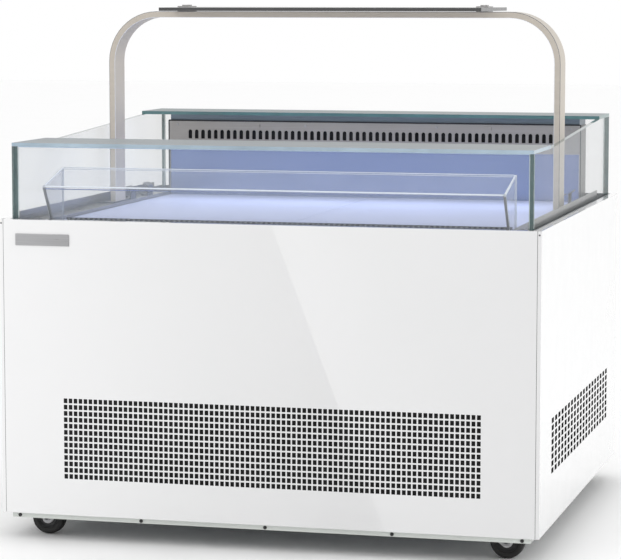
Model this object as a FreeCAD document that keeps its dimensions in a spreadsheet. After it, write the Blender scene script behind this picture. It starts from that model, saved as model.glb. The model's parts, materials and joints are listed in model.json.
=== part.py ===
import FreeCAD, Part
import math
import os
import re
import Sketcher

# Open-top refrigerated island display merchandiser, in millimetres.
# Frame: +X to the viewer's right, front at -Y, +Z up, origin on the floor under the middle
# of the cabinet. Every size below is a cell of the spreadsheet, and the features are bound to it.

SIZES = {
    # white lower cabinet
    "width": 1220, "depth": 1120, "body_bottom": 60, "body_top": 721, "skin": 1.5,
    "corner_return": 8, "seam": 1,
    # perforated vents: hole counts, pitches, hole sizes and the centre of the lowest hole row
    "front_columns": 81, "front_rows": 13, "front_pitch_x": 11.7, "front_pitch_z": 14.2,
    "front_hole_x": 8.5, "front_hole_z": 10.6, "front_vent_x": 10, "front_vent_z": 148,
    "side_columns": 19, "side_rows": 8, "side_pitch_y": 43.8, "side_pitch_z": 15.8,
    "side_hole_y": 28, "side_hole_z": 11.6, "side_vent_z": 182,
    "rear_columns": 24, "rear_rows": 12, "rear_pitch_x": 40, "rear_pitch_z": 18,
    "rear_hole_x": 30, "rear_hole_z": 6, "rear_vent_z": 160,
    # underframe and machine floor
    "frame_bottom": 48, "frame_top": 104, "frame_x": 590, "frame_y": 550, "frame_sheet": 2.5,
    "frame_flange": 30, "floor_sheet": 3, "post": 30, "post_top": 470,
    # insulated well and liner
    "well_x": 592, "well_front": 540, "well_rear": 552, "well_bottom": 500, "well_top": 700,
    "cavity_x": 535, "cavity_y": 497, "cavity_bottom": 535,
    # deck
    "deck_top": 707, "deck_x": 528, "deck_front": 380, "deck_rear": 437, "sheet": 1.5,
    "rail_inner": 530, "rail_outer": 576, "rail_top": 715, "rail_upstand": 737, "grille_front": 524,
    # glass guard box
    "pane": 10, "plate": 8, "glass_x": 588, "glass_front": 536, "glass_rear": 548,
    "glass_foot": 711, "ledge_top": 890, "ledge_rear": 322, "cover_front": 385, "cover_top": 922,
    # rear air plenum
    "plenum_x": 532, "plenum_face": 440, "plenum_rear": 536, "plenum_top": 895,
    "plenum_sill": 824, "slot_count": 57, "slot_pitch": 17, "slot_w": 9.4, "slot_tall": 23,
    "slot_z": 862,
    # clear product guard
    "guard_x": 525, "guard_sheet": 5, "guard_foot": 464, "guard_kink": 515, "guard_kink_z": 792,
    "guard_rear": 386, "guard_top": 828, "guard_gap": 0.3,
    # arch and overhead shelf
    "arch_x": 550, "arch_y": 59, "arch_thick": 14, "arch_deep": 72, "arch_wall": 2,
    "arch_radius": 120, "arch_top": 1177.5, "foot_sheet": 3,
    "shelf_x": 386, "shelf_deep": 318, "shelf_y": 65, "shelf_pad": 2, "shelf_glass": 8,
    # casters
    "caster_x": 504, "caster_y": 478, "wheel_r": 38, "wheel_w": 32, "trail": 24, "axle_r": 4,
    "running_gap": 0.05, "kingpin_r": 6, "crown_top": 90, "crown_sheet": 4, "leg_gap": 17.5,
    "leg_sheet": 3, "plate_half": 34, "brake_z": 70,
    # fans
    "condenser_fan_r": 135, "evaporator_fan_r": 72, "hub_r": 26, "shaft_r": 4,
    # refrigerant tube
    "line_r": 5,
    # control bezels on the rear panel, and the blank badge on the front one
    "bezel": 2.5, "badge": 2.5,
}

DOC = FreeCAD.newDocument("island_merchandiser")
SHEET = DOC.addObject("Spreadsheet::Sheet", "Sizes")
for row, (alias, size) in enumerate(SIZES.items(), start=1):
    SHEET.set("A%d" % row, alias)
    SHEET.set("B%d" % row, str(size))
    SHEET.setAlias("B%d" % row, alias)
DOC.recompute()

NODES = {}
POCKETS = []
WORD = re.compile(r"[a-z_]+[a-z_0-9]*")
PLANES = {"XY": "XY_Plane", "XZ": "XZ_Plane", "YZ": "YZ_Plane"}


# ---------------------------------------------------------------- expressions

def bound(text):
    """The expression with every size written as a cell of the sheet."""
    return WORD.sub(lambda m: "Sizes." + m.group() if m.group() in SIZES else m.group(), str(text))


def value(text):
    """The number that an expression of sheet sizes gives."""
    return float(SHEET.evalExpression(str(text)))


def mirrored(side, low, high):
    """The span low..high on the right, or its mirror image on the left."""
    return (low, high) if side > 0 else ("-(%s)" % high, "-(%s)" % low)


def keep(name, thing):
    """Registers a finished piece under its node name."""
    thing.Label = name
    NODES[name] = thing
    return thing


# ---------------------------------------------------------------- Part primitives

def box(name, x_low, x_high, y_low, y_high, z_low, z_high):
    block = DOC.addObject("Part::Box", name)
    for size, low, high in (("Length", x_low, x_high), ("Width", y_low, y_high),
                            ("Height", z_low, z_high)):
        block.setExpression(size, bound("(%s) - (%s)" % (high, low)))
    for axis, low in (("x", x_low), ("y", y_low), ("z", z_low)):
        block.setExpression("Placement.Base." + axis, bound(low))
    return block


def cylinder(name, axis, x, y, z, radius, length):
    """A round bar from (x, y, z) along one of the axes."""
    bar = DOC.addObject("Part::Cylinder", name)
    turn = {"x": FreeCAD.Rotation(FreeCAD.Vector(0, 1, 0), 90),
            "y": FreeCAD.Rotation(FreeCAD.Vector(1, 0, 0), -90),
            "z": FreeCAD.Rotation()}[axis]
    bar.Placement = FreeCAD.Placement(FreeCAD.Vector(), turn)
    bar.setExpression("Radius", bound(radius))
    bar.setExpression("Height", bound(length))
    for key, place in (("x", x), ("y", y), ("z", z)):
        bar.setExpression("Placement.Base." + key, bound(place))
    return bar


def fuse(name, pieces):
    joined = DOC.addObject("Part::MultiFuse", name)
    joined.Shapes = pieces
    joined.Refine = True
    return joined


def cut(name, base, tools):
    carved = DOC.addObject("Part::Cut", name)
    carved.Base = base
    carved.Tool = tools[0] if len(tools) == 1 else fuse(name + "_tools", tools)
    return carved


def group(name, pieces):
    """Separate solids that share one node."""
    bundle = DOC.addObject("Part::Compound", name)
    bundle.Links = pieces
    return bundle


def feature(name, shape):
    solid = DOC.addObject("Part::Feature", name)
    solid.Shape = shape
    solid.Placement = FreeCAD.Placement()
    return solid


# ---------------------------------------------------------------- PartDesign bodies

def new_body(name):
    body = DOC.addObject("PartDesign::Body", name)
    body.AllowCompound = True
    return body


def new_sketch(body, name, plane, offset):
    sketch = body.newObject("Sketcher::SketchObject", name)
    role = PLANES[plane]
    origin_plane = next(f for f in body.Origin.OriginFeatures if f.Role == role)
    sketch.AttachmentSupport = (origin_plane, [""])
    sketch.MapMode = "FlatFace"
    sketch.setExpression("AttachmentOffset.Base.z", bound(offset))
    return sketch


def polygon(sketch, corners):
    """A closed outline whose corners are held at bound distances from the sketch origin."""
    places = [(value(a), value(b)) for a, b in corners]
    count = len(corners)
    for i in range(count):
        start = FreeCAD.Vector(*places[i], 0)
        end = FreeCAD.Vector(*places[(i + 1) % count], 0)
        sketch.addGeometry(Part.LineSegment(start, end), False)
    for i in range(count):
        sketch.addConstraint(Sketcher.Constraint("Coincident", i, 2, (i + 1) % count, 1))
    for i in range(count):
        for axis, kind in enumerate(("DistanceX", "DistanceY")):
            held = Sketcher.Constraint(kind, -1, 1, i, 1, places[i][axis])
            index = sketch.addConstraint(held)
            sketch.setExpression("Constraints[%d]" % index, bound(corners[i][axis]))


def circle(sketch, x, y, radius):
    centre = FreeCAD.Vector(value(x), value(y), 0)
    up = FreeCAD.Vector(0, 0, 1)
    line = sketch.addGeometry(Part.Circle(centre, up, value(radius)), False)
    for kind, text in (("DistanceX", x), ("DistanceY", y)):
        held = Sketcher.Constraint(kind, -1, 1, line, 3, value(text))
        sketch.setExpression("Constraints[%d]" % sketch.addConstraint(held), bound(text))
    index = sketch.addConstraint(Sketcher.Constraint("Radius", line, value(radius)))
    sketch.setExpression("Constraints[%d]" % index, bound(radius))


def pad(body, name, plane, low, high, corners=None, disc=None):
    """Adds a prism between two levels along the plane's axis."""
    offset = "-(%s)" % high if plane == "XZ" else low
    sketch = new_sketch(body, name + "_sketch", plane, offset)
    if corners:
        polygon(sketch, corners)
    else:
        circle(sketch, *disc)
    solid = body.newObject("PartDesign::Pad", name)
    solid.Profile = sketch
    solid.setExpression("Length", bound("(%s) - (%s)" % (high, low)))
    return solid


def pocket(body, name, plane, low, high, corners=None, disc=None):
    """Cuts a prism between two levels along the plane's axis."""
    offset = "-(%s)" % low if plane == "XZ" else high
    sketch = new_sketch(body, name + "_sketch", plane, offset)
    if corners:
        polygon(sketch, corners)
    else:
        circle(sketch, *disc)
    hollow = body.newObject("PartDesign::Pocket", name)
    hollow.Profile = sketch
    hollow.setExpression("Length", bound("(%s) - (%s)" % (high, low)))
    POCKETS.append(hollow)
    return hollow


def fillet(body, name, radius, wanted):
    """Rounds the edges whose middle point passes the test."""
    DOC.recompute()
    edges = ["Edge%d" % (i + 1) for i, edge in enumerate(body.Shape.Edges)
             if wanted(edge, edge.CenterOfMass)]
    rounding = body.newObject("PartDesign::Fillet", name)
    rounding.Base = (body.Tip if body.Tip is not rounding else rounding.BaseFeature, edges)
    rounding.setExpression("Radius", bound(radius))
    return rounding


def rectangle(a_low, a_high, b_low, b_high):
    return [(a_low, b_low), (a_high, b_low), (a_high, b_high), (a_low, b_high)]


# ---------------------------------------------------------------- perforated sheets

def closed_wire(points):
    return Part.makePolygon([FreeCAD.Vector(*p) for p in points + points[:1]])


def perforated(name, place, thick, outline, holes, folds):
    """A sheet with holes and folded edges: place(a, b) gives a point on the sheet's face."""
    wires = [closed_wire([place(a, b) for a, b in ring]) for ring in [outline] + holes]
    sheet = Part.makeFace(wires, "Part::FaceMakerBullseye").extrude(FreeCAD.Vector(*thick))
    return feature(name, sheet.fuse([block(*fold) for fold in folds]))


def block(x_low, x_high, y_low, y_high, z_low, z_high):
    """A plain Part box between two corners given as expressions."""
    low = FreeCAD.Vector(value(x_low), value(y_low), value(z_low))
    high = FreeCAD.Vector(value(x_high), value(y_high), value(z_high))
    return Part.makeBox(high.x - low.x, high.y - low.y, high.z - low.z, low)


def hole_grid(columns, rows, a_first, b_first, a_pitch, b_pitch, a_size, b_size):
    holes = []
    for i in range(columns):
        for j in range(rows):
            a = a_first + i * a_pitch
            b = b_first + j * b_pitch
            holes.append([(a - a_size / 2, b - b_size / 2), (a + a_size / 2, b - b_size / 2),
                          (a + a_size / 2, b + b_size / 2), (a - a_size / 2, b + b_size / 2)])
    return holes


def make_front_panel():
    columns, rows = int(value("front_columns")), int(value("front_rows"))
    half = value("width/2 - corner_return - seam")
    low, high = value("body_bottom"), value("body_top")
    face = value("-depth/2")
    first = value("front_vent_x") - (columns - 1) * value("front_pitch_x") / 2
    holes = hole_grid(columns, rows, first, value("front_vent_z"), value("front_pitch_x"),
                      value("front_pitch_z"), value("front_hole_x"), value("front_hole_z"))
    span = ("-(width/2 - corner_return - seam)", "width/2 - corner_return - seam")
    folds = [(*span, "-depth/2 + skin", "-well_front - 1", "body_top - skin", "body_top"),
             (*span, "-depth/2 + skin", "-frame_y - 2", "body_bottom", "body_bottom + skin")]
    keep("front_panel", perforated(
        "front_panel", lambda a, b: (a, face, b), (0, value("skin"), 0),
        [(-half, low), (half, low), (half, high), (-half, high)], holes, folds))


def make_side_panel(side):
    name = "right_side_panel" if side > 0 else "left_side_panel"
    columns, rows = int(value("side_columns")), int(value("side_rows"))
    front, rear = value("-depth/2"), value("depth/2")
    low, high = value("body_bottom"), value("body_top")
    skin = value("skin")
    first = -(columns - 1) * value("side_pitch_y") / 2
    holes = hole_grid(columns, rows, first, value("side_vent_z"), value("side_pitch_y"),
                      value("side_pitch_z"), value("side_hole_y"), value("side_hole_z"))
    face = side * value("width/2")
    lip = mirrored(side, "width/2 - corner_return", "width/2 - skin")
    ledge = mirrored(side, "well_x + 1", "width/2 - skin")
    folds = [(*lip, "-depth/2", "-depth/2 + skin", "body_bottom", "body_top"),
             (*lip, "depth/2 - skin", "depth/2", "body_bottom", "body_top"),
             (*ledge, "-well_front", "well_rear", "body_top - skin", "body_top")]
    keep(name, perforated(
        name, lambda a, b: (face, a, b), (-side * skin, 0, 0),
        [(front, low), (rear, low), (rear, high), (front, high)], holes, folds))


def make_rear_panel():
    columns, rows = int(value("rear_columns")), int(value("rear_rows"))
    half = value("width/2 - corner_return - seam")
    low, high = value("body_bottom"), value("body_top")
    face = value("depth/2 - skin")
    first = -(columns - 1) * value("rear_pitch_x") / 2
    holes = hole_grid(columns, rows, first, value("rear_vent_z"), value("rear_pitch_x"),
                      value("rear_pitch_z"), value("rear_hole_x"), value("rear_hole_z"))
    for x_low, x_high, z_low, z_high in rear_cutouts():
        holes.append([(x_low, z_low), (x_high, z_low), (x_high, z_high), (x_low, z_high)])
    span = ("-(width/2 - corner_return - seam)", "width/2 - corner_return - seam")
    folds = [(*span, "well_rear + 1", "depth/2 - skin", "body_top - skin", "body_top")]
    keep("rear_panel", perforated(
        "rear_panel", lambda a, b: (a, face, b), (0, value("skin"), 0),
        [(-half, low), (half, low), (half, high), (-half, high)], holes, folds))


# The controls sit in the rear panel, on the operator's side.
CONTROLLER = {"x": -380, "z": 620, "wide": 78, "tall": 34}
ROCKER = {"x": -470, "z": 620, "wide": 28, "tall": 34}
GLAND = {"x": -520, "z": 140, "half": 12}


def rear_cutouts():
    """Openings for the controller, the rocker switch and the inlet gland."""
    cutouts = []
    for part, margin in ((CONTROLLER, 4), (ROCKER, 3)):
        half_x = part["wide"] / 2 - margin
        half_z = part["tall"] / 2 - margin
        cutouts.append((part["x"] - half_x, part["x"] + half_x,
                        part["z"] - half_z, part["z"] + half_z))
    half = GLAND["half"]
    cutouts.append((GLAND["x"] - half, GLAND["x"] + half, GLAND["z"] - half, GLAND["z"] + half))
    return cutouts


# ---------------------------------------------------------------- frame and well

def make_base_frame():
    walls = []
    for side in (-1, 1):
        x_web = mirrored(side, "frame_x - frame_sheet", "frame_x")
        y_web = mirrored(side, "frame_y - frame_sheet", "frame_y")
        x_flange = mirrored(side, "frame_x - frame_flange", "frame_x")
        y_flange = mirrored(side, "frame_y - frame_flange", "frame_y")
        tag = "right" if side > 0 else "left"
        walls += [box("side_web_" + tag, *x_web, "-frame_y", "frame_y",
                      "frame_bottom", "frame_top"),
                  box("end_web_" + tag, "-frame_x", "frame_x", *y_web,
                      "frame_bottom", "frame_top"),
                  box("side_flange_" + tag, *x_flange, "-frame_y", "frame_y",
                      "frame_top - frame_sheet", "frame_top"),
                  box("end_flange_" + tag, "-frame_x", "frame_x", *y_flange,
                      "frame_top - frame_sheet", "frame_top")]
    keep("base_frame", fuse("base_frame", walls))


def make_machine_floor():
    body = new_body("machine_floor")
    inset = ("-(frame_x - 2)", "frame_x - 2")
    reach = ("-(frame_y - 2)", "frame_y - 2")
    pad(body, "floor_plate", "XY", "frame_top", "frame_top + floor_sheet",
        rectangle(*inset, *reach))
    keep("machine_floor", body)


def make_upper_frame():
    """Four posts and a ring that carry the well."""
    bars = []
    for side_x in (-1, 1):
        for side_y in (-1, 1):
            x_span = mirrored(side_x, "frame_x - 2 - post", "frame_x - 2")
            y_span = mirrored(side_y, "frame_y - 12 - post", "frame_y - 12")
            bars.append(box("post_%d_%d" % (side_x + 1, side_y + 1), *x_span, *y_span,
                            "frame_top + floor_sheet", "post_top"))
    for side in (-1, 1):
        x_span = mirrored(side, "frame_x - 2 - post", "frame_x - 2")
        y_span = mirrored(side, "frame_y - 12 - post", "frame_y - 12")
        bars.append(box("ring_side_%d" % (side + 1), *x_span, "-(frame_y - 12)", "frame_y - 12",
                        "post_top", "well_bottom"))
        bars.append(box("ring_end_%d" % (side + 1), "-(frame_x - 2)", "frame_x - 2", *y_span,
                        "post_top", "well_bottom"))
    keep("upper_frame", fuse("upper_frame", bars))


def make_well():
    body = new_body("insulated_well")
    pad(body, "foam", "XY", "well_bottom", "well_top",
        rectangle("-well_x", "well_x", "-well_front", "well_rear"))
    pocket(body, "cavity", "XY", "cavity_bottom", "well_top",
           rectangle("-cavity_x", "cavity_x", "-cavity_y", "cavity_y"))
    pocket(body, "drain_hole", "XY", "well_bottom", "cavity_bottom", disc=("300", "-430", "12"))
    keep("insulated_well", body)


# ---------------------------------------------------------------- deck

def make_side_rails():
    """Stainless rails each side of the deck: a ledge for the arch and an upstand by the glass."""
    rails = []
    for side in (-1, 1):
        section = [("rail_inner - 18", "well_top"), ("rail_inner + 2", "well_top"),
                   ("rail_inner + 2", "rail_top - 2"), ("rail_outer - 2", "rail_top - 2"),
                   ("rail_outer - 2", "well_top"), ("rail_outer", "well_top"),
                   ("rail_outer", "rail_upstand"), ("rail_outer - 2", "rail_upstand"),
                   ("rail_outer - 2", "rail_top"), ("rail_inner", "rail_top"),
                   ("rail_inner", "well_top + 2"), ("rail_inner - 18", "well_top + 2")]
        if side < 0:
            section = [("-(%s)" % a, b) for a, b in reversed(section)]
        rail = new_body("rail_right" if side > 0 else "rail_left")
        pad(rail, rail.Name + "_fold", "XZ", "-grille_front", "plenum_face - 2", section)
        rails.append(rail)
    keep("side_rails", group("side_rails", rails))


def make_deck_pans():
    for side, name in ((-1, "deck_pan_left"), (1, "deck_pan_right")):
        pan = new_body(name)
        x_span = mirrored(side, "1", "deck_x")
        inner = mirrored(side, "1 + sheet", "deck_x - sheet")
        pad(pan, name + "_blank", "XY", "well_top + 2", "deck_top",
            rectangle(*x_span, "-deck_front", "deck_rear"))
        pocket(pan, name + "_underside", "XY", "well_top + 2", "deck_top - sheet",
               rectangle(*inner, "-deck_front + sheet", "deck_rear - sheet"))
        keep(name, pan)
    beam = new_body("deck_beam")
    section = [("-16", "well_top - 24"), ("16", "well_top - 24"), ("16", "well_top + 2"),
               ("-16", "well_top + 2")]
    pad(beam, "beam_bar", "XZ", "-deck_front + 4", "plenum_face - 26", section)
    pad(beam, "beam_front_leg", "XY", "cavity_bottom", "well_top - 24",
        rectangle("-14", "14", "-deck_front + 10", "-deck_front + 38"))
    pad(beam, "beam_rear_leg", "XY", "cavity_bottom", "well_top - 24",
        rectangle("-14", "14", "plenum_face - 54", "plenum_face - 26"))
    keep("deck_beam", beam)


def make_return_grille():
    """Slotted strip inside the front glass, with the plain strip that the guard stands on."""
    half = value("deck_x")
    front, rear = -value("grille_front"), -value("deck_front + 3")
    under = value("deck_top - sheet")
    pitch = 12.0
    columns = int(2 * (half - 14) / pitch)
    first = -(columns - 1) * pitch / 2
    holes = hole_grid(columns, 1, first, front + 30, pitch, 1, 7, 40)
    holes += hole_grid(columns, 1, first, rear - 12, pitch, 1, 7, 14)
    folds = [("-deck_x", "deck_x", "-grille_front", "-grille_front + sheet",
              "well_top + 2", "deck_top - sheet"),
             ("-deck_x", "deck_x", "-deck_front - 3 - sheet", "-deck_front - 3",
              "well_top + 2", "deck_top - sheet")]
    keep("air_return_grille", perforated(
        "air_return_grille", lambda a, b: (a, b, under), (0, 0, value("sheet")),
        [(-half, front), (half, front), (half, rear), (-half, rear)], holes, folds))


# ---------------------------------------------------------------- rear plenum

def slot_wire(x, y, z, wide, tall):
    """A vertical slot with a round top."""
    half = wide / 2
    low, shoulder = z - tall / 2, z + tall / 2 - half
    left = FreeCAD.Vector(x - half, y, shoulder)
    right = FreeCAD.Vector(x + half, y, shoulder)
    crown = FreeCAD.Vector(x, y, shoulder + half)
    foot_right = FreeCAD.Vector(x + half, y, low)
    foot_left = FreeCAD.Vector(x - half, y, low)
    return Part.Wire([Part.Arc(left, crown, right).toShape(), Part.makeLine(right, foot_right),
                      Part.makeLine(foot_right, foot_left), Part.makeLine(foot_left, left)])


def make_plenum():
    y = value("plenum_face")
    half, low, high = value("plenum_x"), value("plenum_sill"), value("plenum_top")
    count, pitch = int(value("slot_count")), value("slot_pitch")
    outline = closed_wire([(-half, y, low), (half, y, low), (half, y, high), (-half, y, high)])
    slots = [slot_wire((i - (count - 1) / 2) * pitch, y, value("slot_z"), value("slot_w"),
                       value("slot_tall")) for i in range(count)]
    sheet = Part.makeFace([outline] + slots, "Part::FaceMakerBullseye")
    front = feature("plenum_front", sheet.extrude(FreeCAD.Vector(0, value("sheet"), 0)))
    top = box("plenum_lid", "-plenum_x", "plenum_x", "plenum_face + sheet", "plenum_rear",
              "plenum_top - sheet", "plenum_top")
    sill = box("plenum_sill_fold", "-plenum_x", "plenum_x", "plenum_face + sheet",
               "plenum_face + 8", "plenum_sill", "plenum_sill + sheet")
    lamp = box("lamp_channel", "-(plenum_x - 2)", "plenum_x - 2", "plenum_face + 6", "plenum_rear",
               "plenum_top", "cover_top - plate - 2")
    pieces = [front, top, sill, lamp]
    for side in (-1, 1):
        x_span = mirrored(side, "plenum_x - sheet", "plenum_x")
        tag = "right" if side > 0 else "left"
        pieces.append(box("plenum_end_" + tag, *x_span, "plenum_face + sheet", "plenum_rear",
                          "well_top + 1", "plenum_top - sheet"))
        tab = mirrored(side, "290", "310")
        pieces.append(box("plenum_tab_" + tag, *tab, "plenum_face - 3", "plenum_face",
                          "plenum_top - 14", "plenum_top - 6"))
    keep("plenum_housing", fuse("plenum_housing", pieces))
    panel = new_body("polished_back_panel")
    pad(panel, "back_sheet", "XZ", "plenum_face + 3", "plenum_face + 3 + sheet",
        rectangle("-(plenum_x - sheet - 1)", "plenum_x - sheet - 1",
                  "well_top + 1", "plenum_sill - 0.5"))
    keep("polished_back_panel", panel)


# ---------------------------------------------------------------- glass guard box

def make_glazing_channel():
    body = new_body("glazing_channel")
    pad(body, "channel_ring", "XY", "well_top", "body_top",
        rectangle("-well_x", "well_x", "-well_front", "well_rear"))
    pocket(body, "channel_seat", "XY", "glass_foot", "body_top",
           rectangle("-(glass_x + 2)", "glass_x + 2", "-(glass_front + 2)", "glass_rear + 2"))
    pocket(body, "channel_inside", "XY", "well_top", "glass_foot",
           rectangle("-(rail_outer + 1)", "rail_outer + 1", "-(grille_front + 1)",
                     "glass_rear - pane - 1"))
    keep("glazing_channel", body)


def make_glass():
    front = new_body("front_glass")
    pad(front, "front_pane", "XZ", "-glass_front", "-glass_front + pane",
        rectangle("-glass_x", "glass_x", "glass_foot", "ledge_top - plate"))
    keep("front_glass", front)
    for side, name in ((-1, "left_side_glass"), (1, "right_side_glass")):
        glass = new_body(name)
        outline = [("-glass_front + pane", "glass_foot"), ("glass_rear", "glass_foot"),
                   ("glass_rear", "cover_top - plate"), ("cover_front", "cover_top - plate"),
                   ("-ledge_rear", "ledge_top - plate"),
                   ("-glass_front + pane", "ledge_top - plate")]
        low, high = mirrored(side, "glass_x - pane", "glass_x")
        pad(glass, name + "_pane", "YZ", low, high, outline)
        keep(name, glass)
    ledge = new_body("ledge_glass")
    pad(ledge, "ledge_plate", "XY", "ledge_top - plate", "ledge_top",
        rectangle("-glass_x", "glass_x", "-glass_front", "-ledge_rear"))
    keep("ledge_glass", ledge)
    cover = new_body("rear_top_glass")
    pad(cover, "cover_plate", "XY", "cover_top - plate", "cover_top",
        rectangle("-glass_x", "glass_x", "cover_front", "glass_rear"))
    keep("rear_top_glass", cover)
    rear = new_body("rear_glass")
    pad(rear, "rear_pane", "XZ", "glass_rear - pane", "glass_rear",
        rectangle("-(glass_x - pane)", "glass_x - pane", "glass_foot", "cover_top - plate"))
    keep("rear_glass", rear)


def make_product_guard():
    """Clear bent sheet with a forward kink and a cheek at each end."""
    body = new_body("product_guard")
    thick = "guard_sheet"
    foot = "deck_top + guard_gap"
    section = [("-guard_foot", foot), ("-guard_foot + %s" % thick, foot),
               ("-guard_kink + 1.4 * %s" % thick, "guard_kink_z - 0.3 * %s" % thick),
               ("-guard_rear", "guard_top - 1.04 * %s" % thick), ("-guard_rear", "guard_top"),
               ("-guard_kink", "guard_kink_z")]
    pad(body, "guard_sheet_fold", "YZ", "-guard_x", "guard_x", section)
    cheek = [("-guard_foot", foot), ("-guard_rear", foot), ("-guard_rear", "guard_top"),
             ("-guard_kink", "guard_kink_z")]
    for side, name in ((-1, "cheek_left"), (1, "cheek_right")):
        low, high = mirrored(side, "guard_x - guard_sheet", "guard_x")
        pad(body, name, "YZ", low, high, cheek)
    keep("product_guard", body)


# ---------------------------------------------------------------- arch and shelf

def hoop(name, inset):
    """The arch's outline in the XZ plane, padded along Y, with its two bends rounded."""
    body = new_body(name)
    outer = "(arch_x - %s)" % inset
    inner = "(arch_x - arch_thick + %s)" % inset
    crown = "(arch_top - %s)" % inset
    under = "(arch_top - arch_thick + %s)" % inset
    foot = "(rail_top + foot_sheet)"
    outline = [("-" + outer, foot), ("-" + inner, foot), ("-" + inner, under), (inner, under),
               (inner, foot), (outer, foot), (outer, crown), ("-" + outer, crown)]
    half = "(arch_deep / 2 - %s)" % inset
    pad(body, name + "_bar", "XZ", "arch_y - " + half, "arch_y + " + half, outline)

    def bend(height):
        """Tests for the two edges along Y at this height."""
        longest = value("arch_deep") + 1
        reach = 0.8 * value("arch_x")
        return lambda edge, middle: (abs(middle.z - height) < 0.5 and edge.Length < longest
                                     and abs(middle.x) > reach)

    fillet(body, name + "_outer_bend", "arch_radius - %s" % inset, bend(value(crown)))
    fillet(body, name + "_inner_bend", "arch_radius - arch_thick + %s" % inset,
           bend(value(under)))
    return body


def make_arch():
    keep("arch", cut("arch", hoop("arch_outside", "0"), [hoop("arch_inside", "arch_wall")]))


def make_arch_brackets():
    """Foot flanges under the posts and the bent retainers behind them."""
    pieces = []
    for side in (-1, 1):
        tag = "right" if side > 0 else "left"
        x_span = mirrored(side, "rail_inner + 4", "rail_outer - 4")
        foot = box("arch_foot_" + tag, *x_span, "arch_y - 62", "arch_y + 62", "rail_top",
                   "rail_top + foot_sheet")
        outline = [("rail_inner + 2", "rail_top"), ("rail_inner + 20", "rail_top"),
                   ("rail_inner + 20", "rail_top + foot_sheet"),
                   ("rail_inner + 5", "rail_top + foot_sheet"),
                   ("rail_inner + 5", "rail_top + 24"), ("rail_inner + 14", "rail_top + 30"),
                   ("rail_inner + 14", "rail_top + 33"), ("rail_inner + 2", "rail_top + 25.5")]
        if side < 0:
            outline = [("-(%s)" % a, b) for a, b in reversed(outline)]
        pieces.append(foot)
        for i, (low, high) in enumerate((("arch_y + 66", "arch_y + 106"),
                                         ("arch_y + 200", "arch_y + 240"))):
            clip = new_body("arch_clip_%s_%d" % (tag, i))
            pad(clip, clip.Name + "_fold", "XZ", low, high, outline)
            pieces.append(clip)
    keep("arch_brackets", group("arch_brackets", pieces))


STUD_X = 364
STUD_Y = 20


def make_shelf():
    low = "arch_top + shelf_pad"
    shelf = new_body("overhead_shelf")
    pad(shelf, "shelf_plate", "XY", low, low + " + shelf_glass",
        rectangle("-shelf_x", "shelf_x", "shelf_y - shelf_deep / 2", "shelf_y + shelf_deep / 2"))
    for i, (x, y) in enumerate(stud_places()):
        pocket(shelf, "stud_hole_%d" % i, "XY", low, low + " + shelf_glass", disc=(x, y, "4"))
    keep("overhead_shelf", shelf)
    pieces = []
    for side in (-1, 1):
        tag = "right" if side > 0 else "left"
        x_span = mirrored(side, "%d - 14" % STUD_X, "%d + 14" % STUD_X)
        pieces.append(box("under_pad_" + tag, *x_span, "arch_y - 32", "arch_y + 32",
                          "arch_top", low))
        plates = [box("clamp_plate_" + tag, *x_span, "arch_y - 32", "arch_y + 32",
                      low + " + shelf_glass", low + " + shelf_glass + 3")]
        for i, (x, y) in enumerate(stud_places()):
            if (float(x) > 0) == (side > 0):
                plates.append(cylinder("clamp_stud_%d" % i, "z", x, y, low, "3",
                                       "shelf_glass + 1"))
                plates.append(cylinder("clamp_head_%d" % i, "z", x, y,
                                       low + " + shelf_glass + 3", "6", "3"))
        pieces.append(fuse("clamp_" + tag, plates))
    keep("shelf_clamps", group("shelf_clamps", pieces))


def stud_places():
    return [(str(x), "arch_y + %d" % y) for x in (-STUD_X, STUD_X) for y in (-STUD_Y, STUD_Y)]


# ---------------------------------------------------------------- casters

def caster_corners():
    """Name, side in X and side in Y of the four casters."""
    return (("front_left", -1, -1), ("front_right", 1, -1),
            ("rear_left", -1, 1), ("rear_right", 1, 1))


def make_caster_plates():
    plates = []
    for name, side_x, side_y in caster_corners():
        x, y = "%d * caster_x" % side_x, "%d * caster_y" % side_y
        plate = new_body("plate_" + name)
        pad(plate, plate.Name + "_sheet", "XY", "frame_top - 4", "frame_top",
            rectangle(x + " - plate_half", x + " + plate_half",
                      y + " - plate_half", y + " + plate_half"))
        pad(plate, plate.Name + "_race", "XY", "crown_top + 1", "frame_top - 4",
            disc=(x, y, "22"))
        pad(plate, plate.Name + "_kingpin", "XY", "crown_top - crown_sheet - 2",
            "crown_top + 1", disc=(x, y, "kingpin_r"))
        pad(plate, plate.Name + "_rivet", "XY", "crown_top - crown_sheet - 5",
            "crown_top - crown_sheet - 2", disc=(x, y, "kingpin_r + 4"))
        plates.append(plate)
    keep("caster_plates", group("caster_plates", plates))


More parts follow.
